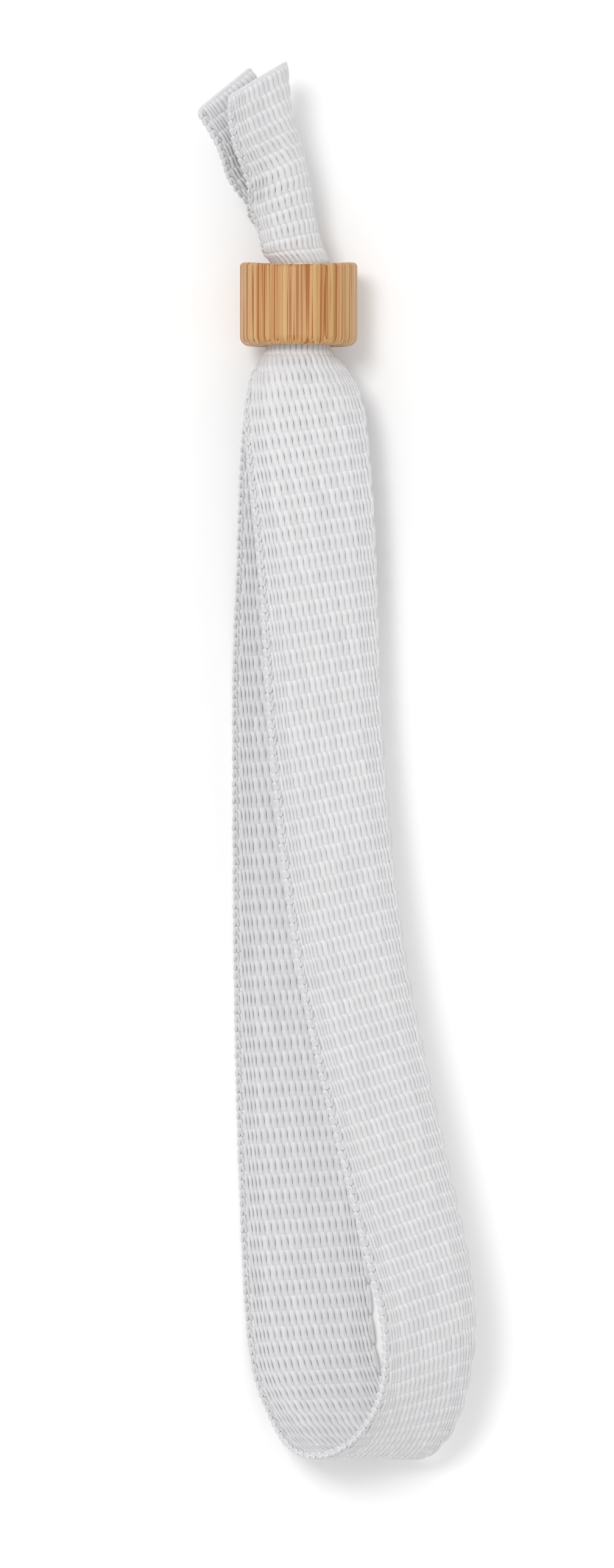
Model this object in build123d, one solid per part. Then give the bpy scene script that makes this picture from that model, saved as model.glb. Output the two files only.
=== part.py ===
from build123d import *
from math import cos, pi, radians, sin
import os

# Strap: one woven band, laid as a loop whose two ends leave the slider side by side (mm).
strap_width = 15.0
strap_thickness = 1.0
loop_length = 132.5
loop_rise = 17.3
tail_length = 21.4

# Slider: a turned bamboo bead with a bore along Y.
slider_diameter = 14.0
slider_length = 10.0
bore_diameter = 7.8
bottom_rim_radius = 1.1
top_rim_radius = 0.5
bore_rim_radius = 0.3
end_hollow_depth = 0.5

# Fits: play between strap and bore, and between the two layers of strap.
bore_clearance = 0.1
layer_gap = 0.15

# Shape of the strap inside the bore: degrees of bend, the share of its width that is bent,
# and how far the outer layer turns on its way to the upper mouth, in degrees.
outer_layer_bend = 195.0
inner_layer_bend = 280.0
bent_share = 0.94
outer_layer_turn = 30.0

# Number of sections that one smooth loft passes through.
sections_per_loft = 4

axis_height = slider_diameter / 2
outer_layer_radius = bore_diameter / 2 - bore_clearance - strap_thickness / 2
inner_layer_radius = outer_layer_radius - strap_thickness - layer_gap

# Columns of every table below:
# out: share of the stretch's own length, measured from the slider
# aside: place of the strap's middle to the right, share of strap_width
# lift: height of the strap's middle above its place on the table, share of loop_rise
# heading, tilt: degrees the strap's cross line is turned in plan and leans down to the right
# bend: degrees of the arc in the cross section, span and place: its width and middle, shares of the width
# squeeze: share of the way from the full width to the width inside the bore
INNER_TAIL = [
    (1.020, -0.492, 0.568, 41, 69, 72, 0.21, 0.160, 0.00),
    (0.720, -0.229, 0.510, 31, 76, 97, 0.28, 0.115, 0.00),
    (0.550, -0.113, 0.422, 24, 75, 130, 0.38, 0.035, 0.00),
    (0.400, -0.033, 0.372, 20, 52, 160, 0.47, -0.071, 0.16),
    (0.280, -0.034, 0.379, 16, 48, 205, 0.56, 0.005, 0.47),
    (0.140, 0.007, 0.323, 12, 24, 228, 0.70, -0.040, 0.81),
    (0.050, -0.002, 0.297, 5, 8, 264, 0.87, -0.019, 0.96),
]
BACK_STRAND = [
    (0.008, 0.000, 0.500, 0, 0, 265, 0.94, 0, 0.97),
    (0.026, 0.005, 0.430, 0, 0, 190, 0.94, 0, 0.72),
    (0.049, 0.005, 0.400, 1, 0, 118, 0.94, 0, 0.33),
    (0.079, 0.018, 0.355, 1, 0, 66, 0.94, 0, 0.10),
    (0.128, 0.020, 0.260, 2, 0, 32, 0.94, 0, 0),
    (0.196, 0.003, 0.127, 2, 0, 13, 0.94, 0, 0),
    (0.279, -0.027, 0.032, 3, 0, 4, 0.94, 0, 0),
    (0.362, -0.030, 0.003, 3, 0, 1, 0.94, 0, 0),
]
FLAT = [
    (0.440, -0.028, 0.000, 3, 0, 0, 0.94, 0, 0),
    (0.700, 0.008, 0.000, 3, 0, 0, 0.94, 0, 0),
]
TURN_AND_FRONT_STRAND = [
    (0.800, 0.040, 0.002, 3, 0, 0, 0.94, 0, 0),
    (0.883, 0.083, 0.014, 3, 1, 0, 0.94, 0, 0),
    (0.932, 0.150, 0.050, 3, 5, 0, 0.94, 0, 0),
    (0.970, 0.270, 0.118, 0, 13, 0, 0.94, 0, 0),
    (0.992, 0.375, 0.254, -2, 21, 0, 0.94, 0, 0),
    (0.999, 0.520, 0.434, -2, 27, 0, 0.94, 0, 0),
    (0.989, 0.715, 0.630, 2, 33, 0, 0.94, 0, 0),
    (0.963, 0.888, 0.815, 9, 38, 0, 0.94, 0, 0),
    (0.927, 0.993, 0.942, 15, 42, 0, 0.94, 0, 0),
    (0.875, 1.020, 1.000, 17, 42, 0, 0.94, 0, 0),
    (0.804, 0.905, 1.000, 17, 39, 0, 0.94, 0, 0),
    (0.694, 0.673, 0.948, 16, 36, 0, 0.94, 0, 0),
    (0.574, 0.443, 0.861, 14, 33, 0, 0.94, 0, 0),
    (0.453, 0.293, 0.757, 12, 30, 0, 0.94, 0, 0),
    (0.332, 0.203, 0.659, 11, 27, 2, 0.94, 0, 0),
    (0.226, 0.163, 0.595, 9, 23, 5, 0.94, 0, 0),
    (0.136, 0.110, 0.566, 9, 17, 14, 0.94, 0, 0),
    (0.079, 0.065, 0.561, 8, 10, 34, 0.94, 0, 0.04),
    (0.049, 0.042, 0.566, 6, 6, 64, 0.94, 0, 0.20),
    (0.026, 0.020, 0.566, 2, 3, 108, 0.94, 0, 0.50),
    (0.008, 0.000, 0.566, 0, 0, 170, 0.94, 0, 0.86),
]
OUTER_TAIL = [
    (0.050, -0.033, 0.489, 5, 30, 192, 0.92, 0.001, 0.96),
    (0.140, -0.032, 0.446, 12, 32, 184, 0.84, -0.026, 0.79),
    (0.280, -0.012, 0.464, 16, 36, 168, 0.71, -0.050, 0.46),
    (0.400, 0.006, 0.510, 20, 40, 140, 0.61, -0.044, 0.16),
    (0.550, 0.002, 0.514, 24, 62, 105, 0.44, 0.007, 0.00),
    (0.720, -0.100, 0.595, 26, 66, 77, 0.32, 0.080, 0.00),
    (1.060, -0.208, 0.722, 33, 69, 72, 0.30, 0.163, 0.00),
]


def in_bore(y, inner):
    """Cross section inside the bore: middle point, heading, tilt, bend, span, place and width."""
    radius = inner_layer_radius if inner else outer_layer_radius
    bend = inner_layer_bend if inner else outer_layer_bend
    turn = 0 if inner else outer_layer_turn * y / slider_length
    point = Vector(radius * sin(radians(turn)), y, axis_height + radius * cos(radians(turn)))
    width = radius * radians(bend) / bent_share
    return point, 0, turn, bend, bent_share, 0, width


def from_row(row, start, length, inner):
    """Cross section of one table row, its lengths worked out from the named sizes."""
    out, aside, lift, heading, tilt, bend, span, place, squeeze = row
    bore = in_bore(start, inner)
    x = aside * strap_width + squeeze * bore[0].X
    z = (1 - squeeze) * (strap_thickness / 2 + lift * loop_rise) + squeeze * bore[0].Z
    width = (1 - squeeze) * strap_width + squeeze * bore[6]
    return Vector(x, start + out * length, z), heading, tilt, bend, span, place, width


def outline(section, along):
    """Closed outline of the strap's cross section: flange, arc, flange, one thickness deep."""
    point, heading, tilt, bend, span, place, width = section
    h = radians(heading)
    q = radians(tilt)
    across = Vector(cos(q) * cos(h), cos(q) * sin(h), -sin(q))
    outward = across.cross(along).normalized()
    half = strap_thickness / 2
    angle = radians(bend)
    flat = bend == 0
    radius = 0 if flat else span * width / angle
    reach = span * width / 2

    def middle(u):
        """Middle line of the section, and the direction square to it, at width share u."""
        v = (u - place) * width
        if flat:
            return v, 0.0, 0.0, 1.0
        inside = max(-reach, min(reach, v))
        phi = inside / radius
        rest = v - inside
        x = radius * sin(phi) + rest * cos(phi)
        y = radius * (cos(phi) - 1) - rest * sin(phi)
        return x, y, sin(phi), cos(phi)

    x0, y0, _, _ = middle(0)
    frame = Plane(origin=point, x_dir=across, z_dir=across.cross(outward))

    def at(u, side):
        x, y, nx, ny = middle(u)
        return frame.from_local_coords(Vector(x - x0 + side * half * nx, y - y0 + side * half * ny, 0))

    first = place - span / 2
    last = place + span / 2

    def bent(side, start, end):
        if flat:
            return Edge.make_line(at(start, side), at(end, side))
        return Edge.make_three_point_arc(at(start, side), at(place, side), at(end, side))

    return Wire([
        Edge.make_line(at(-0.5, 1), at(first, 1)),
        bent(1, first, last),
        Edge.make_line(at(last, 1), at(0.5, 1)),
        Edge.make_line(at(0.5, 1), at(0.5, -1)),
        Edge.make_line(at(0.5, -1), at(last, -1)),
        bent(-1, last, first),
        Edge.make_line(at(first, -1), at(-0.5, -1)),
        Edge.make_line(at(-0.5, -1), at(-0.5, 1)),
    ])


def square_to(section):
    """Level direction square to the section's heading, pointing away from the loop."""
    h = radians(section[1])
    return Vector(-sin(h), cos(h), 0)


def run_directions(sections):
    """Direction of the strap at each section, from the middle points on either side of it."""
    points = [section[0] for section in sections]
    before = [points[0]] + points[:-1]
    after = points[1:] + [points[-1]]
    return [(b - a).normalized() for a, b in zip(before, after)]


def lofted(sections, directions):
    """Smooth solids through the sections' outlines, a few at a time, each ending where the next begins."""
    outlines = [outline(s, d) for s, d in zip(sections, directions)]
    step = sections_per_loft - 1
    starts = range(0, len(outlines) - 1, step)
    return [Solid.make_loft(outlines[i:i + sections_per_loft], False) for i in starts]


def tail(table, inner):
    """One free end of the strap, from the slider's upper mouth to the cut."""
    rows = sorted(table)
    sections = [in_bore(slider_length, inner)]
    sections += [from_row(row, slider_length, tail_length, inner) for row in rows]
    return lofted(sections, [square_to(s) for s in sections])


def bore_run(inner):
    """The straight run of one layer through the bore, turned on its way."""
    last = sections_per_loft - 1
    sections = [in_bore(slider_length * i / last, inner) for i in range(sections_per_loft)]
    return lofted(sections, [Vector(0, 1, 0)] * sections_per_loft)


def loop_sections(table, inner):
    return [from_row(row, 0, -loop_length, inner) for row in table]


flat_start, flat_end = loop_sections(FLAT, True)
flat_direction = (flat_start[0] - flat_end[0]).normalized()


def flat_run():
    """The straight run that lies flat on the table."""
    face = Face(outline(flat_end, flat_direction))
    return [Solid.extrude(face, flat_start[0] - flat_end[0])]


def back_strand():
    """Rise of the back strand from its flat run to the slider's lower mouth."""
    sections = [flat_start] + loop_sections(reversed(BACK_STRAND), True) + [in_bore(0, True)]
    directions = run_directions(sections)
    directions[0] = flat_direction
    directions[-1] = Vector(0, 1, 0)
    return lofted(sections, directions)


def turn_and_front_strand():
    """The turn at the far end and the front strand that rises to the slider's lower mouth."""
    sections = [flat_end] + loop_sections(TURN_AND_FRONT_STRAND, False) + [in_bore(0, False)]
    directions = run_directions(sections)
    directions[0] = flat_direction * -1
    directions[-1] = Vector(0, 1, 0)
    return lofted(sections, directions)


def make_strap():
    """All runs joined into one solid."""
    runs = tail(INNER_TAIL, True) + bore_run(True) + back_strand() + flat_run()
    runs += turn_and_front_strand() + bore_run(False) + tail(OUTER_TAIL, False)
    return Part() + runs


def along_bore(radius, length):
    """Cylinder round the slider's axis, as long on both sides of its middle."""
    return Pos(0, slider_length / 2, axis_height) * Rot(90, 0, 0) * Cylinder(radius, length)


def make_slider():
    """Bead with a hollow upper end, rounded rims and eased bore mouths."""
    body = along_bore(slider_diameter / 2, slider_length)
    bottom = [e for e in body.edges() if e.center().Y < slider_length / 4]
    body = fillet(bottom, bottom_rim_radius)
    hollow_radius = ((slider_diameter / 2) ** 2 + end_hollow_depth ** 2) / (2 * end_hollow_depth)
    hollow_y = slider_length - end_hollow_depth + hollow_radius
    body -= Pos(0, hollow_y, axis_height) * Cylinder(hollow_radius, 2 * slider_diameter)
    top = [e for e in body.edges() if e.center().Y > slider_length * 3 / 4]
    body = fillet(top, top_rim_radius)
    bored = body - along_bore(bore_diameter / 2, 2 * slider_length)
    mouths = [e for e in bored.edges() - body.edges() if e.geom_type != GeomType.LINE]
    return fillet(mouths, bore_rim_radius)


strap = make_strap()
slider = make_slider()
box = Compound([strap, slider]).bounding_box()
centred = Pos(-box.center().X, -box.center().Y, -box.min.Z)

os.makedirs("parts", exist_ok=True)
export_step(centred * strap, "parts/strap.step")
export_step(centred * slider, "parts/slider.step")
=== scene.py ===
# %% [markdown]
# # A white polyester bracelet with a bamboo slider
# One woven band is laid as a loop on a table. Both of its ends pass through a bamboo bead and
# leave it as two short curled tails. The CAD model gives the band's solid shape and the bead.
# This lesson keeps the bead's mesh and rebuilds the band yarn by yarn, because a woven band is
# recognised by its yarns.

import bpy
import numpy as np
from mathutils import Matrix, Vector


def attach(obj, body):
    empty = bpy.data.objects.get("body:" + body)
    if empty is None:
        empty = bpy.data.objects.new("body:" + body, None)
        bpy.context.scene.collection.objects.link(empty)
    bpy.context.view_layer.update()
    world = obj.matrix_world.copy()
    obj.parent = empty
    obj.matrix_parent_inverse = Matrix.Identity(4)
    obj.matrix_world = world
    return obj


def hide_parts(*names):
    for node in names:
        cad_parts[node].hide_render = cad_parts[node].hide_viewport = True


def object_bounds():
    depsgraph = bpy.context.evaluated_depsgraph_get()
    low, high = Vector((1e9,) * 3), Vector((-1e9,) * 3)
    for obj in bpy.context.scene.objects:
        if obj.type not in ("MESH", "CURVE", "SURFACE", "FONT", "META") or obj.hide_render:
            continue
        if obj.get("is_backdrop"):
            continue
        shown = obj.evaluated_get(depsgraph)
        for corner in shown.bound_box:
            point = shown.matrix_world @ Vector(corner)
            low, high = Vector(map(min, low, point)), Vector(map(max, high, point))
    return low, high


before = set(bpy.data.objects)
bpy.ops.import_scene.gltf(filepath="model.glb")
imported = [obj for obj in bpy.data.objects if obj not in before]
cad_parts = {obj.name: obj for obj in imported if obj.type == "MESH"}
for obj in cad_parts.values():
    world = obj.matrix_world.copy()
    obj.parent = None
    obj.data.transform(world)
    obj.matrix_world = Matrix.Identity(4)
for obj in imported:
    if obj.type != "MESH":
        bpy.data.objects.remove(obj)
cad_low, cad_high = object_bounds()


def print_box(title, low, high):
    """Prints the three sides of a box in millimetres."""
    print(title, [round(1000 * (b - a), 2) for a, b in zip(low, high)])


print("nodes:", sorted(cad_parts))
print_box("CAD box mm:", cad_low, cad_high)

# %% [markdown]
# The band's shape is a list of cross sections along its middle line, the same ones that the CAD
# model is lofted through. Lengths are shares of a few named sizes, so a size can change without
# retyping the list. A loop could also be simulated as cloth, but a stiff band that someone laid
# out by hand keeps the shape it was given.

# %% Sizes of the band and the bead, in millimetres and degrees
strap_width = 15.0
strap_thickness = 1.0
loop_length = 132.5
loop_rise = 17.3
tail_length = 21.4
slider_length = 10.0
slider_radius = 7.0
axis_height = slider_radius
outer_layer = {"radius": 3.3, "bend": 195.0, "turn": 30.0}
inner_layer = {"radius": 2.15, "bend": 280.0, "turn": 0.0}
bent_share = 0.94
bead_place = np.array([-4.3512, 49.6046, 0.0056])

# %% [markdown]
# Each row of the four tables is one section. The first three numbers place it: out is a share of
# the loop's or the tail's length from the bead's mouth, aside counts band widths to the right,
# and lift is a share of the loop's rise. Heading and tilt turn it, in degrees. Its profile is an
# arc of bend degrees over the share span of the width, with the arc's middle at place, and the
# rest of the width is straight. Squeeze goes from 0, where the band is open, to 1, where it has
# the place and the width that the bead's bore gives it. Such tables could be a drawn curve with
# a profile, but numbers in a table can be compared with the CAD model's one by one.

# %% Cross sections: out, aside, lift, heading, tilt, bend, span, place, squeeze
INNER_TAIL = np.array([
    (1.020, -0.492, 0.568, 41, 69, 72, 0.21, 0.160, 0.00),
    (0.720, -0.229, 0.510, 31, 76, 97, 0.28, 0.115, 0.00),
    (0.550, -0.113, 0.422, 24, 75, 130, 0.38, 0.035, 0.00),
    (0.400, -0.033, 0.372, 20, 52, 160, 0.47, -0.071, 0.16),
    (0.280, -0.034, 0.379, 16, 48, 205, 0.56, 0.005, 0.47),
    (0.140, 0.007, 0.323, 12, 24, 228, 0.70, -0.040, 0.81),
    (0.050, -0.002, 0.297, 5, 8, 264, 0.87, -0.019, 0.96),
])
BACK_STRAND = np.array([
    (0.008, 0.000, 0.500, 0, 0, 265, 0.94, 0, 0.97),
    (0.026, 0.005, 0.430, 0, 0, 190, 0.94, 0, 0.72),
    (0.049, 0.005, 0.400, 1, 0, 118, 0.94, 0, 0.33),
    (0.079, 0.018, 0.355, 1, 0, 66, 0.94, 0, 0.10),
    (0.128, 0.020, 0.260, 2, 0, 32, 0.94, 0, 0),
    (0.196, 0.003, 0.127, 2, 0, 13, 0.94, 0, 0),
    (0.279, -0.027, 0.032, 3, 0, 4, 0.94, 0, 0),
    (0.362, -0.030, 0.003, 3, 0, 1, 0.94, 0, 0),
])
TURN_AND_FRONT_STRAND = np.array([
    (0.440, -0.028, 0.000, 3, 0, 0, 0.94, 0, 0),
    (0.700, 0.008, 0.000, 3, 0, 0, 0.94, 0, 0),
    (0.800, 0.040, 0.002, 3, 0, 0, 0.94, 0, 0),
    (0.883, 0.083, 0.014, 3, 1, 0, 0.94, 0, 0),
    (0.932, 0.150, 0.050, 3, 5, 0, 0.94, 0, 0),
    (0.970, 0.270, 0.118, 0, 13, 0, 0.94, 0, 0),
    (0.992, 0.375, 0.254, -2, 21, 0, 0.94, 0, 0),
    (0.999, 0.520, 0.434, -2, 27, 0, 0.94, 0, 0),
    (0.989, 0.715, 0.630, 2, 33, 0, 0.94, 0, 0),
    (0.963, 0.888, 0.815, 9, 38, 0, 0.94, 0, 0),
    (0.927, 0.993, 0.942, 15, 42, 0, 0.94, 0, 0),
    (0.875, 1.020, 1.000, 17, 42, 0, 0.94, 0, 0),
    (0.804, 0.905, 1.000, 17, 39, 0, 0.94, 0, 0),
    (0.694, 0.673, 0.948, 16, 36, 0, 0.94, 0, 0),
    (0.574, 0.443, 0.861, 14, 33, 0, 0.94, 0, 0),
    (0.453, 0.293, 0.757, 12, 30, 0, 0.94, 0, 0),
    (0.332, 0.203, 0.659, 11, 27, 2, 0.94, 0, 0),
    (0.226, 0.163, 0.595, 9, 23, 5, 0.94, 0, 0),
    (0.136, 0.110, 0.566, 9, 17, 14, 0.94, 0, 0),
    (0.079, 0.065, 0.561, 8, 10, 34, 0.94, 0, 0.04),
    (0.049, 0.042, 0.566, 6, 6, 64, 0.94, 0, 0.20),
    (0.026, 0.020, 0.566, 2, 3, 108, 0.94, 0, 0.50),
    (0.008, 0.000, 0.566, 0, 0, 170, 0.94, 0, 0.86),
])
OUTER_TAIL = np.array([
    (0.050, -0.033, 0.489, 5, 30, 192, 0.92, 0.001, 0.96),
    (0.140, -0.032, 0.446, 12, 32, 184, 0.84, -0.026, 0.79),
    (0.280, -0.012, 0.464, 16, 36, 168, 0.71, -0.050, 0.46),
    (0.400, 0.006, 0.510, 20, 40, 140, 0.61, -0.044, 0.16),
    (0.550, 0.002, 0.514, 24, 62, 105, 0.44, 0.007, 0.00),
    (0.720, -0.100, 0.595, 26, 66, 77, 0.32, 0.080, 0.00),
    (1.060, -0.208, 0.722, 33, 69, 72, 0.30, 0.163, 0.00),
])
print("table rows:", [len(t) for t in (INNER_TAIL, BACK_STRAND, TURN_AND_FRONT_STRAND, OUTER_TAIL)])

# %% [markdown]
# The sections are put in one line, from the cut end of the inner tail, down through the bead,
# round the loop and up through the bead again to the cut end of the outer tail. Positions are
# joined by a natural cubic spline, the smoothest curve through given points. Angles and widths
# are joined by monotone cubics instead, which never swing past the values they join, so the band
# keeps its one shape inside the bead.


# %% Curves through the sections
def natural_cubic(t, values, at):
    """Smoothest piecewise cubic through the values.

    Its second derivatives m solve h0 m0 + 2 (h0 + h1) m1 + h1 m2 = 6 (rise1 - rise0).
    """
    h = np.diff(t)
    rise = np.diff(values, axis=0) / h[:, None]
    below, above = np.diag(np.r_[h[:-1], 0], -1), np.diag(np.r_[0, h[1:]], 1)
    system = np.diag(np.r_[1, 2 * (h[:-1] + h[1:]), 1]) + below + above
    change = np.vstack([0 * rise[:1], 6 * np.diff(rise, axis=0), 0 * rise[:1]])
    m = np.linalg.solve(system, change)
    i = np.clip(np.searchsorted(t, at) - 1, 0, len(h) - 1)
    a, b, hi = (t[i + 1] - at)[:, None], (at - t[i])[:, None], h[i][:, None]
    ends = (values[i] / hi - m[i] * hi / 6) * a + (values[i + 1] / hi - m[i + 1] * hi / 6) * b
    return (m[i] * a**3 + m[i + 1] * b**3) / (6 * hi) + ends


def monotone_cubic(t, values, at):
    """Cubic steps that stay between the values they join.

    The slope at a value is the harmonic mean of the rises on both sides, or zero where the rise
    changes its sign.
    """
    h = np.diff(t)[:, None]
    rise = np.diff(values, axis=0) / h
    same = rise[:-1] * rise[1:] > 0
    mean = 2 * rise[:-1] * rise[1:] / np.where(same, rise[:-1] + rise[1:], 1)
    slope = np.vstack([rise[:1], np.where(same, mean, 0), rise[-1:]])
    i = np.clip(np.searchsorted(t, at) - 1, 0, len(h) - 1)
    x = ((at - t[i]) / h[i, 0])[:, None]
    start = values[i] + h[i] * x * slope[i]
    change = values[i + 1] - values[i] - h[i] * slope[i]
    return start + change * (3 - 2 * x) * x**2 + h[i] * (slope[i + 1] - slope[i]) * (x - 1) * x**2


# %% One line of sections
places_in_bore = 5
samples = 1400


def placed(rows, start, length, layer, side):
    """Table rows as nine columns: x, y, z, heading, tilt, signed bend, span, place and width.

    y is start + out length. The turn about the bore's axis grows from 0 at the lower mouth to
    the layer's turn at the upper one, and x is aside widths plus squeeze radius sin(turn). The
    height is (1 - squeeze) times half a thickness and lift rises, plus squeeze times the axis
    height and radius cos(turn), and the width goes from the band's to the bore's in the same
    proportion. side is 1, or -1 for a layer that bends to its other face.
    """
    out, aside, lift, heading, tilt, bend, span, place, squeeze = rows.T
    bore_width = layer["radius"] * np.radians(layer["bend"]) / bent_share
    y = start + out * length
    turn = np.radians(layer["turn"]) * np.clip(y / slider_length, 0, 1)
    x = aside * strap_width + squeeze * layer["radius"] * np.sin(turn)
    bore_z = axis_height + layer["radius"] * np.cos(turn)
    z = (1 - squeeze) * (strap_thickness / 2 + lift * loop_rise) + squeeze * bore_z
    width = (1 - squeeze) * strap_width + squeeze * bore_width
    return np.stack([x, y, z, heading, tilt, side * bend, span, place, width], 1)


def in_bore(layer, side):
    """The layer's one section, at even steps from the bore's lower mouth to its upper one."""
    rows = np.zeros((places_in_bore, 9))
    rows[:, 0] = np.linspace(0, 1, places_in_bore)
    rows[:, 4] = rows[:, 0] * layer["turn"]
    rows[:, 5:] = layer["bend"], bent_share, 0, 1
    return placed(rows, 0, slider_length, layer, side)


sections = np.vstack([
    placed(INNER_TAIL, slider_length, tail_length, inner_layer, -1),
    in_bore(inner_layer, -1)[::-1],
    placed(BACK_STRAND, 0, -loop_length, inner_layer, -1),
    placed(TURN_AND_FRONT_STRAND, 0, -loop_length, outer_layer, 1),
    in_bore(outer_layer, 1),
    placed(OUTER_TAIL, slider_length, tail_length, outer_layer, 1),
])
sections[:, :3] += bead_place
steps = np.linalg.norm(np.diff(sections[:, :3], axis=0), axis=1)
knots = np.r_[0, np.cumsum(steps)]
way = np.linspace(0, knots[-1], samples)
middle = natural_cubic(knots, sections[:, :3], way)
shape = monotone_cubic(knots, sections[:, 3:], way)
way = np.r_[0, np.cumsum(np.linalg.norm(np.diff(middle, axis=0), axis=1))]
strap_length = way[-1]
print(f"{len(sections)} sections, strap {strap_length:.1f} mm long from cut to cut")

# %% [markdown]
# Every yarn is placed by three numbers: how far along the band it lies, how far across, and how
# high above the middle of its thickness. One function turns those into a point in space. Whole
# arrays go through it at once, so thousands of yarns cost a few lines.

# %% The band as a function of two parameters and a height
flattest_bend = 0.05
past_lower_mouth = middle[:, 1] > bead_place[1]
tail_side = np.where(way < strap_length / 2, -1.0, 1.0)
heading, tilt = np.radians(shape[:, 0]), np.radians(shape[:, 1])
level = np.cos(tilt)
across = np.stack([level * np.cos(heading), level * np.sin(heading), -np.sin(tilt)], 1)
upright = tail_side[:, None] * np.stack([-np.sin(heading), np.cos(heading), 0 * heading], 1)
onward = np.where(past_lower_mouth[:, None], upright, np.gradient(middle, way, axis=0))
outward = np.cross(across, onward)
outward /= np.linalg.norm(outward, axis=1)[:, None]


def read(values, s):
    """The columns of values at the places s along the band, between samples in proportion."""
    return np.stack([np.interp(s, way, column) for column in values.T], -1)


def on_strap(s, u, height):
    """Points in metres: s mm along, u widths across, height mm above the middle surface.

    The section is an arc of angle bend over the share span of the width, with straight flanges:
    x = R sin(phi) + rest cos(phi) and y = R (cos(phi) - 1) - rest sin(phi), where
    R = span * width / bend. A section that is nearly flat gets the flattest bend, so R is finite.
    """
    _, _, bend, span, place, width = np.moveaxis(read(shape, s), -1, 0)
    bend = np.radians(np.where(np.abs(bend) < flattest_bend, flattest_bend, bend))
    radius = span * width / bend

    def profile(u):
        v = (u - place) * width
        inside = np.clip(v, -span * width / 2, span * width / 2)
        phi = inside / radius
        x = radius * np.sin(phi) + (v - inside) * np.cos(phi)
        y = radius * (np.cos(phi) - 1) - (v - inside) * np.sin(phi)
        return x, y, phi

    x, y, phi = profile(u)
    x0, y0, _ = profile(0 * u)
    aside = (x - x0 + height * np.sin(phi))[..., None] * read(across, s)
    up = (y - y0 + height * np.cos(phi))[..., None] * read(outward, s)
    return (read(middle, s) + aside + up) / 1000


print("highest place of the middle line, mm:", round(middle[:, 2].max(), 2))

# %% [markdown]
# Blender takes a mesh as flat lists of numbers. This helper fills them in one call each, and
# gives every point a UV place and a tone, the small difference in brightness that one yarn has
# from the next.


# %% Putting a grid into Blender
def add_piece(name, points, faces, uv, tone=None):
    """A mesh object from points (n, 3) and arrays of faces, one array for each number of corners."""
    mesh = bpy.data.meshes.new(name)
    corners = np.concatenate([f.ravel() for f in faces]).astype(np.int32)
    sizes = np.concatenate([np.full(len(f), f.shape[1]) for f in faces])
    mesh.vertices.add(len(points))
    mesh.vertices.foreach_set("co", np.ascontiguousarray(points, np.float32).ravel())
    mesh.loops.add(len(corners))
    mesh.loops.foreach_set("vertex_index", corners)
    mesh.polygons.add(len(sizes))
    starts = np.r_[0, np.cumsum(sizes)[:-1]].astype(np.int32)
    mesh.polygons.foreach_set("loop_start", starts)
    mesh.update(calc_edges=True)
    mesh.uv_layers.new(name="place")
    mesh.uv_layers["place"].data.foreach_set("uv", uv[corners].astype(np.float32).ravel())
    if tone is not None:
        tones = mesh.attributes.new("tone", "FLOAT", "POINT")
        tones.data.foreach_set("value", tone.astype(np.float32))
    mesh.shade_smooth()
    piece = bpy.data.objects.new(name, mesh)
    bpy.context.scene.collection.objects.link(piece)
    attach(piece, "root")
    print(f"{name}: {len(points)} points, {(sizes - 2).sum()} triangles")
    return piece


def ring_faces(stations, ring):
    """Quads between the stations of a closed tube, each station a ring of points."""
    i, j = np.meshgrid(np.arange(stations - 1), np.arange(ring), indexing="ij")
    k = (j + 1) % ring
    quads = [i * ring + j, i * ring + k, (i + 1) * ring + k, (i + 1) * ring + j]
    return np.stack(quads, -1).reshape(-1, 4)


# %% [markdown]
# The core is the body of the webbing: the filling threads and the buried part of the warp. It is a
# thin closed band, low under each row of yarns, where it shows as a dark line in the gaps, and
# higher between the rows, where the yarns dive over the filling threads. It could be left out, but
# then light would shine through the gaps. It takes the place of the CAD band, which is hidden once
# the core is made.

# %% Rows of the weave and a flat closed band
row_pitch = 1.83
sealed_length = 0.45
row_count = int((strap_length - 2 * sealed_length) / row_pitch)
first_row = (strap_length - (row_count - 1) * row_pitch) / 2
face_points = 16
edge_points = 5
edge_share = 0.03
edge_height = 0.55
print(row_count, "rows")


def band(name, s, half_width, half_height):
    """A closed flat tube: its ring runs over the top face from left to right and back below.

    half_width is a share of the width and half_height in mm, both given at each place s. With e
    the edge's share and h its height, each edge is rounded as a part of an ellipse:
    u = half_width (1 - e (1 - sin a)) and height = half_height h cos a. Toward the edges the
    faces sink to meet it, to 1 - (1 - h) x^12 at the share x of the half width.
    """
    a = np.linspace(0, np.pi, edge_points + 2)[1:-1]
    flat = np.linspace(-1, 1, face_points)
    face_u, edge_u = flat * (1 - edge_share), 1 - edge_share * (1 - np.sin(a))
    sunk = 1 - (1 - edge_height) * flat**12
    ring_u = np.r_[face_u, edge_u, -face_u, -edge_u]
    ring_height = np.r_[sunk, edge_height * np.cos(a), -sunk, -edge_height * np.cos(a)]
    s_grid = np.repeat(s[:, None], len(ring_u), 1)
    u = half_width[:, None] * ring_u
    points = on_strap(s_grid, u, half_height[:, None] * ring_height).reshape(-1, 3)
    ring = len(ring_u)
    low_start = face_points + edge_points
    left_start = low_start + face_points
    top, low = np.arange(face_points), np.arange(low_start, left_start)[::-1]
    lid = np.stack([top[:-1], low[:-1], low[1:], top[1:]], 1)
    right = np.arange(face_points - 1, low_start + 1)[None, ::-1]
    left = np.r_[left_start - 1:ring, 0][None, ::-1]
    near = [lid, right, left]
    far = [(len(s) - 1) * ring + f[:, ::-1] for f in near]
    faces = [ring_faces(len(s), ring)[:, ::-1]] + near + far
    uv = np.stack([u.ravel() * strap_width, s_grid.ravel()], 1)
    return add_piece(name, points, faces, uv)


# %% Core of the webbing
core_inset = 0.3
core_half_width = 0.495
height_between_rows = 0.33
dip_in_row = 0.13
dip_start, dip_end = -0.35, 0.25
steps_in_row = 10
s = np.linspace(core_inset, strap_length - core_inset, row_count * steps_in_row)
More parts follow.
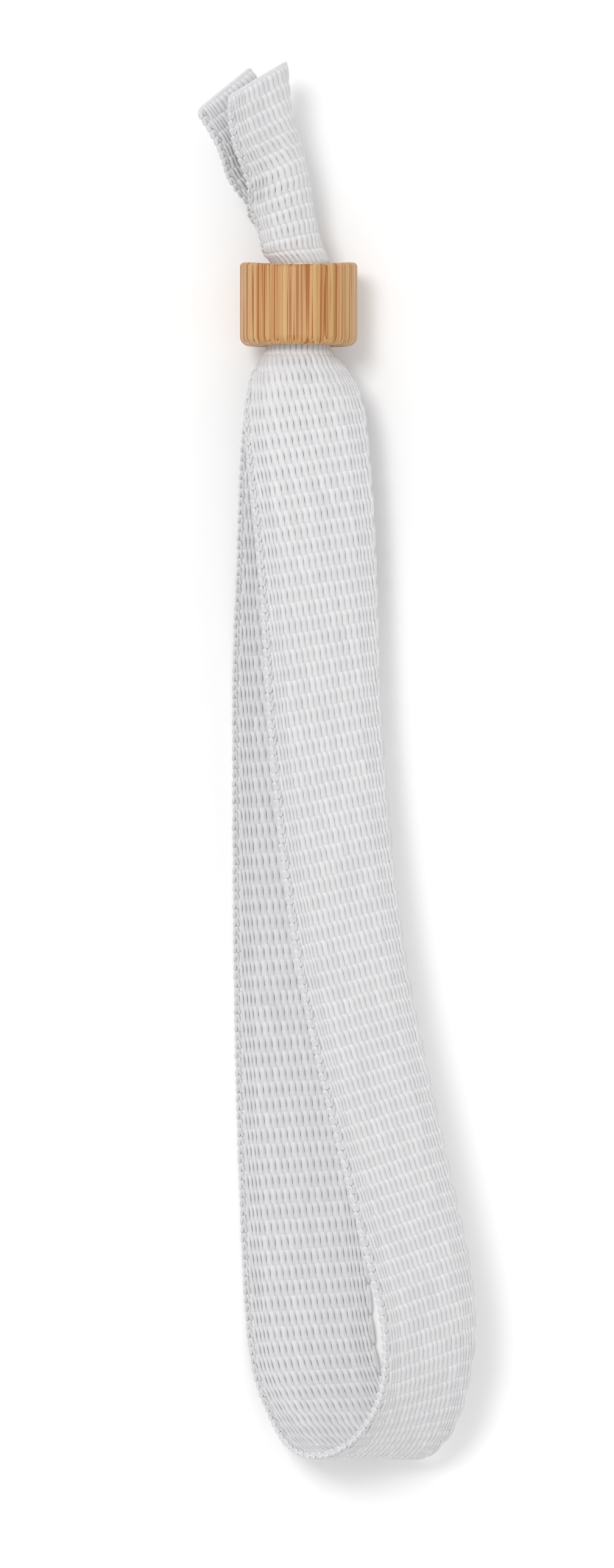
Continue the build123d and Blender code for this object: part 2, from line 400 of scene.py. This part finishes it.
# The wave is 1 in the middle of a row and -1 between rows. The core starts to dip where the wave
# passes dip_start and is down by the whole dip from dip_end on.
wave = np.cos(2 * np.pi * (s - first_row) / row_pitch)
in_row = np.clip((wave - dip_start) / (dip_end - dip_start), 0, 1)
core_height = height_between_rows - dip_in_row * in_row
core = band("strap_core", s, np.full(len(s), core_half_width), core_height)
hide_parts("strap")

# %% [markdown]
# On each face the warp yarns come up over the filling threads as short floats. All floats of a
# row lie side by side, and the next row is shifted by half a column, like bricks. A float is a
# little narrower in its middle, so a short dark gap shows between neighbours, and beyond it they
# swell until they touch and sink between the next row's yarns. A displacement map would need
# millions of faces for such sharp gaps. Instead one float is a small closed grain with a few
# dozen faces, and the whole face is that grain at every place of the brick pattern, joined into
# one mesh.

# %% One grain and a mesh of many
waist = 0.93
swell = 0.22
swell_reach = 0.4
tip_rise = 0.6
stations = np.array([-0.80, -0.42, -0.20, 0.20, 0.42, 0.80])
ring_side = np.array([1.0, 0.90, 0.0, -0.90, -1.0, 0.0])
ring_rise = np.array([0.1, 0.86, 1.0, 0.86, 0.1, -0.4])


def grains(name, s, u, size, heights, turn, tone, taper=6.0, droop=0.6, lean=0.0):
    """Closed grains at (s, u), of a size (length, width) in mm, turned in the face by radians.

    They reach between the heights (low, high) in mm above the middle surface. At the share t of
    its half length a grain's half width is width / 2 times
    (waist + swell min(1, (t / swell_reach)^2)) (1 - |t|^taper), its top is at
    low + (high - low) (1 - droop |t|^3), and its middle lies aside by lean width t^3, so both
    ends lean over. Its ring is a flat arch closed by one point underneath.
    """
    values = (u, *size, *heights, turn)
    u, length, width, low, high, turn = (np.broadcast_to(v, s.shape)[:, None] for v in values)
    ring = len(ring_side)
    t = np.r_[-1.0, np.repeat(stations, ring), 1.0]
    swollen = waist + swell * np.minimum(1, (t / swell_reach) ** 2)
    side = np.r_[0, np.tile(ring_side, len(stations)), 0] * swollen * (1 - np.abs(t) ** taper)
    side = side + 2 * lean * t**3
    rise = np.r_[tip_rise, np.tile(ring_rise, len(stations)), tip_rise]
    rise = rise * (1 - droop * np.abs(t) ** 3)
    ahead = t * length / 2
    beside = side * width / 2
    turned_s = s[:, None] + ahead * np.cos(turn) - beside * np.sin(turn)
    turned_u = ahead * np.sin(turn) + beside * np.cos(turn)
    height = low + rise * (high - low)
    points = on_strap(turned_s, u + turned_u / strap_width, height).reshape(-1, 3)
    n = len(t)
    body = ring_faces(len(stations), ring) + 1
    j = np.arange(ring)
    near = np.stack([0 * j, 1 + (j + 1) % ring, 1 + j], 1)
    far = np.stack([0 * j + n - 1, n - 1 - ring + j, n - 1 - ring + (j + 1) % ring], 1)
    start = (np.arange(len(s)) * n)[:, None, None]
    faces = [(start + f).reshape(-1, f.shape[1]) for f in (body, near, far)]
    if np.mean(high) > 0:
        faces = [f[:, ::-1] for f in faces]
    uv = np.stack([np.tile(side, len(s)), np.tile(t, len(s))], 1)
    return add_piece(name, points, faces, uv, np.repeat(tone, n))


# %% Columns of the weave, narrow ones near both edges
left_margin = 0.68
edge_pitch, middle_pitch = 0.46, 0.775
pitches = np.r_[np.full(4, edge_pitch), np.full(13, middle_pitch), np.full(5, edge_pitch)]
borders = -strap_width / 2 + left_margin + np.r_[0, np.cumsum(pitches)]
centres = (borders[1:] + borders[:-1]) / 2
between = (centres[1:] + centres[:-1]) / 2
print(row_count, "rows of", len(centres), "and", len(between), "floats")

# %% Floats on both faces
float_length = 2.4
float_low = 0.12
float_turn = -0.04
float_lean = -0.3
gap_width = 0.055
face_half = strap_thickness / 2
spread = {"width": 0.012, "along": 0.03, "aside": 0.008, "sink": 0.02, "turn": 0.015}


def floats(name, rows, face, seed):
    """The floats of some rows on one face, +1 the outer and -1 the inner.

    Row k lies at first_row + k row_pitch. Even rows stand on the columns and odd rows between
    them, and on the inner face it is the other way round. A float is as wide as its column's
    pitch without the gap, and its measures vary a little, by the standard deviations in spread.
    """
    rng = np.random.default_rng(seed)
    shift = (rows + (face < 0)) % 2
    even, odd = rows[shift == 0], rows[shift == 1]
    s = np.r_[np.repeat(even, len(centres)), np.repeat(odd, len(between))] * row_pitch + first_row
    u = np.r_[np.tile(centres, len(even)), np.tile(between, len(odd))] / strap_width
    many = len(s)
    width = (np.interp(u * strap_width, centres, pitches) - gap_width) / waist
    width = width * rng.normal(1, spread["width"], many)
    s = s + rng.normal(0, spread["along"], many)
    u = u + rng.normal(0, spread["aside"], many) / strap_width
    high = face * (face_half - np.abs(rng.normal(0, spread["sink"], many)))
    turn = rng.normal(float_turn * face, spread["turn"], many)
    tone = rng.normal(0, 1, many)
    size, heights = (float_length, width), (face * float_low, high)
    return grains(name, s, u, size, heights, turn, tone, lean=float_lean * face)


turn_row = row_count // 2
all_rows = np.arange(row_count)
weave = [
    floats("weave_outer_back", all_rows[:turn_row], 1, 1),
    floats("weave_outer_front", all_rows[turn_row:], 1, 2),
    floats("weave_inner_back", all_rows[:turn_row], -1, 3),
    floats("weave_inner_front", all_rows[turn_row:], -1, 4),
]

# %% [markdown]
# A needle loom closes the left edge with a knitted chain: each stitch is a small V of two legs
# that holds the filling thread. On the right edge the filling thread only turns back, so that
# edge is a row of low bumps, one for every two rows of the weave. Each could be a curve with a
# round profile, but both are so small that the same grain serves again, in other sizes and places.

# %% Left selvage, a knitted chain
chain_pitch = 1.05
chain_inset = 0.38
chain_clear = 0.4
leg_size = (1.25, 0.38)
leg_low, leg_high = 0.1, 0.41
leg_aside, leg_turn = 0.15, 0.24
leg_spread = {"aside": 0.02, "turn": 0.05}
end_clear = sealed_length + chain_clear
stitches = np.arange(end_clear, strap_length - sealed_length - chain_clear, chain_pitch)
print(len(stitches), "stitches on each face")


def chain(name, face, seed):
    """Two legs for each stitch, leaning to opposite sides of the chain's line."""
    rng = np.random.default_rng(seed)
    s = np.repeat(stitches, 2)
    many = len(s)
    leg = np.tile([-1.0, 1.0], len(stitches))
    line = -strap_width / 2 + chain_inset
    u = (line + leg * leg_aside + rng.normal(0, leg_spread["aside"], many)) / strap_width
    tone = rng.normal(0, 1, many)
    turn = leg * leg_turn + rng.normal(0, leg_spread["turn"], many)
    heights = (face * leg_low, face * leg_high)
    return grains(name, s, u, leg_size, heights, turn, tone, taper=4.0)


# %% Right selvage, a row of bumps
bump_size = (3.9, 0.6)
bump_low, bump_high = 0.02, 0.44
bump_inset = 0.10
bump_turn = 0.03


def edge_bumps(name, face, seed):
    """One long grain for every two rows, along the right edge."""
    rng = np.random.default_rng(seed)
    s = np.arange(1, row_count - 1, 2) * row_pitch + first_row
    u = (strap_width / 2 - bump_inset) / strap_width
    tone = rng.normal(0, 1, len(s))
    heights = (face * bump_low, face * bump_high)
    return grains(name, s, u, bump_size, heights, bump_turn, tone, taper=2.5)


selvages = [
    chain("left_chain_outer", 1, 5),
    chain("left_chain_inner", -1, 6),
    edge_bumps("right_edge_outer", 1, 7),
    edge_bumps("right_edge_inner", -1, 8),
]

# %% [markdown]
# A cut polyester band frays, so its ends are melted. The seal is a narrow smooth strip, a little
# thinner at the very end, with rounded corners. A bevel on a cut block would look sawn, so it is
# the flat closed band again, grown from a thin rim.

# %% Sealed ends
seal_overlap = 0.55
seal_growth = 1.6
seal_narrowing = 0.06
seal_rim, seal_swell, seal_thinning = 0.10, 0.30, 0.16


def seal(name, at, inward):
    """A short closed band from the cut inward, x going from 0 at the cut to 1.

    It grows as a quarter circle, share = sqrt(1 - (1 - growth x)^2) until that reaches 1. Its
    half width is 0.5 - narrowing (1 - share) and its half height rim + swell share - thinning x^2.
    """
    x = np.array([0.0, 0.03, 0.1, 0.22, 0.4, 0.65, 1.0])
    s = at + inward * x * (sealed_length + seal_overlap)
    share = np.sqrt(1 - (1 - np.clip(x * seal_growth, 0, 1)) ** 2)
    half_width = 0.5 - seal_narrowing * (1 - share)
    half_height = seal_rim + seal_swell * share - seal_thinning * x**2
    order = np.argsort(s)
    return band(name, s[order], half_width[order], half_height[order])


seals = [seal("sealed_end_inner", 0.0, 1), seal("sealed_end_outer", strap_length, -1)]

# %% [markdown]
# Polyester yarn is a bundle of fine smooth filaments. Its colour is a soft grey white, a little
# different from yarn to yarn. Both ends of a float, where it turns to the light, get a painted
# highlight that lightens its colour.
# The filaments show as fine lines along each float and spread the highlight. They could be
# modelled, but they are far finer than the picture shows, so they are a bump along the yarn's
# own UV place.


# %% Material helpers
def material(name):
    """A new material, its node tree and shader, and a short way to add and join nodes."""
    made = bpy.data.materials.new(name)
    made.use_nodes = True
    tree = made.node_tree
    shader = tree.nodes["Principled BSDF"]

    def add(kind, inputs=None, **settings):
        node = tree.nodes.new(kind)
        for key, value in settings.items():
            setattr(node, key, value)
        for key, value in (inputs or {}).items():
            if isinstance(value, bpy.types.NodeSocket):
                tree.links.new(value, node.inputs[key])
            else:
                node.inputs[key].default_value = value
        return node

    print("material:", name)
    return made, tree, shader, add


def ramp(node, stops):
    """Sets a colour ramp's stops, each a place from 0 to 1 and a colour."""
    elements = node.color_ramp.elements
    while len(elements) < len(stops):
        elements.new(0.5)
    for element, (place, colour) in zip(elements, stops):
        element.position = place
        element.color = (*colour, 1)


# %% Polyester yarn
# Strength of the painted highlight that lightens both ends of a float
painted_end_highlight = 0.8
tone_limit = 2.5


def yarn(name, light, dark, bump):
    """Yarn between two colours, with filament lines along it.

    The mix is tone times filaments plus a painted highlight, its strength times t^2, where t is the
    share of a grain's half length, which the second UV number holds.
    """
    made, tree, shader, add = material(name)
    tone = add("ShaderNodeAttribute", attribute_name="tone")
    spread_tone = add("ShaderNodeMapRange", {
        "Value": tone.outputs["Fac"], "From Min": -tone_limit, "From Max": tone_limit})
    place = add("ShaderNodeUVMap", uv_map="place").outputs["UV"]
    lines = add("ShaderNodeMapping", {"Vector": place, "Scale": (5.0, 0.7, 1.0)})
    filaments = add("ShaderNodeTexNoise", {
        "Vector": lines.outputs["Vector"], "Scale": 1.0, "Detail": 3.0}).outputs["Fac"]
    # Painted highlight: the colour is lightened toward both ends of a float, by its strength times
    # t^2
    along = add("ShaderNodeSeparateXYZ", {"Vector": place}).outputs["Y"]
    squared = add("ShaderNodeMath", {0: along, 1: along}, operation="MULTIPLY")
    ends = add("ShaderNodeMath", {0: squared.outputs[0], 1: painted_end_highlight}, operation="MULTIPLY")
    amount = add("ShaderNodeMath", {
        0: spread_tone.outputs["Result"], 1: filaments, 2: ends.outputs[0]},
        operation="MULTIPLY_ADD")
    colour = add("ShaderNodeValToRGB", {"Fac": amount.outputs[0]})
    ramp(colour, [(0.15, dark), (0.85, light)])
    relief = add("ShaderNodeBump", {"Height": filaments, "Strength": bump, "Distance": 0.00006})
    tree.links.new(colour.outputs["Color"], shader.inputs["Base Color"])
    tree.links.new(relief.outputs["Normal"], shader.inputs["Normal"])
    shader.inputs["Roughness"].default_value = 0.48
    shader.inputs["Specular IOR Level"].default_value = 0.4
    shader.inputs["Sheen Weight"].default_value = 0.15
    shader.inputs["Sheen Roughness"].default_value = 0.4
    return made


float_yarn = yarn("polyester_yarn", light=(0.75, 0.75, 0.76), dark=(0.64, 0.64, 0.65), bump=0.8)
edge_yarn = yarn("selvage_yarn", light=(0.72, 0.72, 0.73), dark=(0.60, 0.60, 0.61), bump=0.6)
for piece in weave:
    piece.data.materials.append(float_yarn)
for piece in selvages:
    piece.data.materials.append(edge_yarn)

# %% [markdown]
# The filling threads lie deep between the yarns, so of them only a soft mottled grey shows in the
# gaps. A melted end is the same polyester, flowed and set, smoother and a little glossier. Two
# painted images could serve, but one noise on the band's own UV place is enough for both, at
# two scales, because neither shows single threads.


# %% Core and melted ends
def webbing_body(name, colour, shade, roughness, scale):
    """Packed threads or melted polyester: one noise on the UV place gives colour and bump."""
    made, tree, shader, add = material(name)
    place = add("ShaderNodeUVMap", uv_map="place")
    lines = add("ShaderNodeMapping", {"Vector": place.outputs["UV"], "Scale": scale})
    mottle = add("ShaderNodeTexNoise", {
        "Vector": lines.outputs["Vector"], "Scale": 1.0, "Detail": 4.0}).outputs["Fac"]
    mixed = add("ShaderNodeValToRGB", {"Fac": mottle})
    ramp(mixed, [(0.3, shade), (0.7, colour)])
    relief = add("ShaderNodeBump", {"Height": mottle, "Strength": 0.4, "Distance": 0.0001})
    tree.links.new(mixed.outputs["Color"], shader.inputs["Base Color"])
    tree.links.new(relief.outputs["Normal"], shader.inputs["Normal"])
    shader.inputs["Roughness"].default_value = roughness
    return made


core.data.materials.append(webbing_body(
    "filling_threads", colour=(0.75, 0.75, 0.76), shade=(0.68, 0.68, 0.69),
    roughness=0.6, scale=(5.0, 1.2, 1.0)))
melted = webbing_body(
    "melted_end", colour=(0.70, 0.70, 0.71), shade=(0.63, 0.63, 0.64),
    roughness=0.38, scale=(1.2, 1.8, 1.0))
for piece in seals:
    piece.data.materials.append(melted)

# %% [markdown]
# The bead is turned from solid bamboo, so its fibre bundles run through it along the bore. A
# noise that is very long in that direction gives the lines on the side. The distance from the
# axis counts only a quarter in it, so the lines run on over the rounded rims and in toward the
# bore, and don't break up there. A wave texture would give evenly spaced lines, which belong to
# other woods. The CAD mesh stays as it is, because its shape is right.

# %% Bamboo
radial_share = 0.25
along_scale = 6.0
dark_lines = [
    (0.37, 1.0), (0.41, 0.0), (0.48, 0.0), (0.49, 1.0), (0.51, 1.0), (0.52, 0.0),
    (0.555, 0.0), (0.56, 0.6), (0.565, 0.6), (0.57, 0.0), (0.60, 0.0), (0.62, 1.0)]
axis_x, axis_z = float(bead_place[0]), axis_height + float(bead_place[2])
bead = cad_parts["slider"]
bamboo, tree, shader, add = material("bamboo")
place = add("ShaderNodeTexCoord")
from_axis = add("ShaderNodeMapping", {
    "Vector": place.outputs["Object"],
    "Location": (-axis_x, 0.0, -axis_z),
    "Scale": (1000.0, along_scale, 1000.0)}).outputs["Vector"]
# A point at the distance d from the axis is pulled to radius + share (d - radius), because it is
# scaled by share + (1 - share) radius / d.
in_section = add("ShaderNodeVectorMath", {0: from_axis, 1: (1.0, 0.0, 1.0)}, operation="MULTIPLY")
distance = add("ShaderNodeVectorMath", {0: in_section.outputs["Vector"]}, operation="LENGTH")
pull = add("ShaderNodeMath", {
    0: (1 - radial_share) * slider_radius, 1: distance.outputs["Value"]}, operation="DIVIDE")
pull = add("ShaderNodeMath", {0: pull.outputs[0], 1: radial_share}, operation="ADD")
fibres = add("ShaderNodeVectorMath", {
    0: from_axis, "Scale": pull.outputs[0]}, operation="SCALE").outputs["Vector"]
bundles = add("ShaderNodeTexNoise", {
    "Vector": fibres, "Scale": 0.9, "Detail": 2.0, "Roughness": 0.75}).outputs["Fac"]
streaks = add("ShaderNodeTexNoise", {
    "Vector": fibres, "Scale": 3.2, "Detail": 3.0, "Roughness": 0.7}).outputs["Fac"]
base = add("ShaderNodeValToRGB", {"Fac": streaks})
ramp(base, [
    (0.32, (0.41, 0.205, 0.064)), (0.46, (0.52, 0.295, 0.108)), (0.7, (0.61, 0.38, 0.165))])
dark = add("ShaderNodeValToRGB", {"Fac": bundles})
ramp(dark, [(place, (strength, strength, strength)) for place, strength in dark_lines])
grain = add("ShaderNodeMix", {
    "Factor": dark.outputs["Color"],
    "A": base.outputs["Color"],
    "B": (0.34, 0.105, 0.016, 1)}, data_type="RGBA")
relief = add("ShaderNodeBump", {"Height": streaks, "Strength": 0.5, "Distance": 0.00015})
tree.links.new(grain.outputs["Result"], shader.inputs["Base Color"])
tree.links.new(relief.outputs["Normal"], shader.inputs["Normal"])
shader.inputs["Roughness"].default_value = 0.42
bead.data.materials.clear()
bead.data.materials.append(bamboo)
for slot in bead.material_slots:
    slot.material = bamboo

# %% [markdown]
# The bracelet lies on a white table under a large soft lamp, a little to the upper left, with
# light from all round. A small lamp would draw a hard shadow that the picture doesn't have. The
# table is lit to white, and the band's own shade is what sets it off.


# %% Table
def flat_square(name, size):
    """A square in the floor's plane, its corners half a size from the middle."""
    mesh = bpy.data.meshes.new(name)
    corners = np.array([(-1, -1, 0), (1, -1, 0), (1, 1, 0), (-1, 1, 0)]) * size / 2
    mesh.from_pydata(corners.tolist(), [], [(0, 1, 2, 3)])
    square = bpy.data.objects.new(name, mesh)
    bpy.context.scene.collection.objects.link(square)
    return square


table_top = flat_square("table_top", size=4.0)
table_top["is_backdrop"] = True
paint, _, shader, _ = material("table_white")
shader.inputs["Base Color"].default_value = (0.92, 0.92, 0.92, 1)
shader.inputs["Roughness"].default_value = 0.9
shader.inputs["Specular IOR Level"].default_value = 0.1
table_top.data.materials.append(paint)


# %% Light
def lamp(name, place, size, power):
    """A square area light at a place in metres that looks at the middle of the bracelet."""
    light = bpy.data.lights.new(name, "AREA")
    light.size = size
    light.energy = power
    made = bpy.data.objects.new(name, light)
    bpy.context.scene.collection.objects.link(made)
    made.location = place
    x, y, z = place
    made.rotation_euler = (np.arctan2(np.hypot(x, y), z), 0, np.arctan2(y, x) + np.pi / 2)
    print(f"{name}: {power} W, {size} m wide")


lamp("soft_box", place=(-0.45, 0.50, 1.7), size=0.5, power=11.4)
world = bpy.data.worlds.new("studio")
bpy.context.scene.world = world
world.use_nodes = True
background = world.node_tree.nodes["Background"]
background.inputs["Color"].default_value = (1, 1, 1, 1)
background.inputs["Strength"].default_value = 0.88
bpy.context.scene.view_settings.view_transform = "Standard"

# %% [markdown]
# The picture is taken from straight above and from far away, so the bracelet is hardly
# foreshortened. A camera without perspective would come close, but it would lose the little that
# is there. The field on the table is as tall as the picture, at 13.7 pixels a millimetre, and
# the bead's lower mouth is the place in it from which the camera's own place is measured.

# %% Camera
picture_height = 2576
pixels_per_mm = 13.7
from_mouth = (1.0, -52.27)
camera_height = 1.4
sensor_width = 36
field_height = picture_height / pixels_per_mm / 1000
camera_data = bpy.data.cameras.new("overhead")
camera_data.sensor_width = sensor_width
camera_data.lens = sensor_width * camera_height / field_height
camera_data.clip_end = 20
camera = bpy.data.objects.new("overhead", camera_data)
camera_x, camera_y = (bead_place[:2] + from_mouth) / 1000
camera.location = (camera_x, camera_y, camera_height)
bpy.context.scene.collection.objects.link(camera)
bpy.context.scene.camera = camera
print(f"camera: {camera_data.lens:.1f} mm lens, {camera_height} m above the table")

# %% [markdown]
# The finished scene's box is printed, to set beside the CAD box printed at the start. The
# yarns may not make the bracelet larger than its solid.

# %% Sizes and finish
low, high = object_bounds()
print_box("scene box mm:", low, high)
